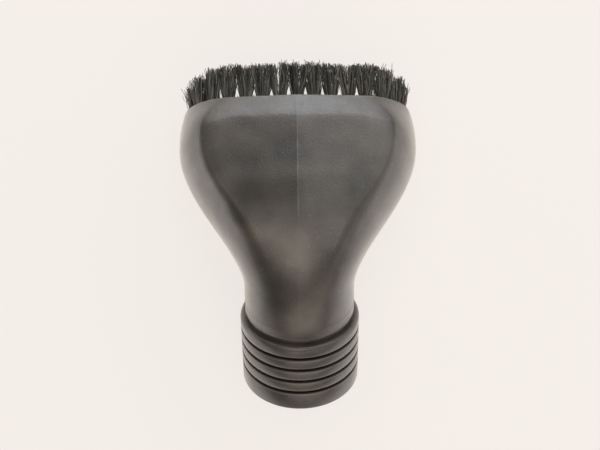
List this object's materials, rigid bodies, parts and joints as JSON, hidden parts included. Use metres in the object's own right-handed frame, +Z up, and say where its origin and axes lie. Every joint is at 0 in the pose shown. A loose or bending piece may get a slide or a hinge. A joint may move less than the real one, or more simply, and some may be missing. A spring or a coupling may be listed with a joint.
{
  "type": "vacuum upholstery tool",
  "caption": "Hollow dark plastic vacuum tool: ringed round collar for a wand, bent neck and a wide flat head whose mouth is ringed by black bristle tufts.",
  "frame": {"origin": "middle of the bounding box, on the surface that the tool lies on", "axes": "+Y from the wand collar towards the bristles, +Z up from the surface, X across the head"},
  "size_m": [0.0764, 0.111, 0.0519],
  "materials": {
    "body_plastic": "charcoal moulded polypropylene, fine satin grain",
    "bristle": "black synthetic filaments, slightly waved",
    "anchor_wire": "drawn flat wire"
  },
  "bodies": {
    "root": {"body": "body_plastic", "tuft_01": "bristle", "tuft_02": "bristle", "tuft_03": "bristle", "tuft_04": "bristle", "tuft_05": "bristle", "tuft_06": "bristle", "tuft_07": "bristle", "tuft_08": "bristle", "tuft_09": "bristle", "tuft_10": "bristle", "tuft_11": "bristle", "tuft_12": "bristle", "tuft_13": "bristle", "tuft_14": "bristle", "tuft_15": "bristle", "tuft_16": "bristle", "tuft_17": "bristle", "tuft_18": "bristle", "tuft_19": "bristle", "tuft_20": "bristle", "tuft_21": "bristle", "tuft_22": "bristle", "tuft_23": "bristle", "tuft_24": "bristle", "tuft_25": "bristle", "tuft_26": "bristle", "tuft_27": "bristle", "tuft_28": "bristle", "tuft_29": "bristle", "anchors": "anchor_wire"}
  },
  "joints": []
}
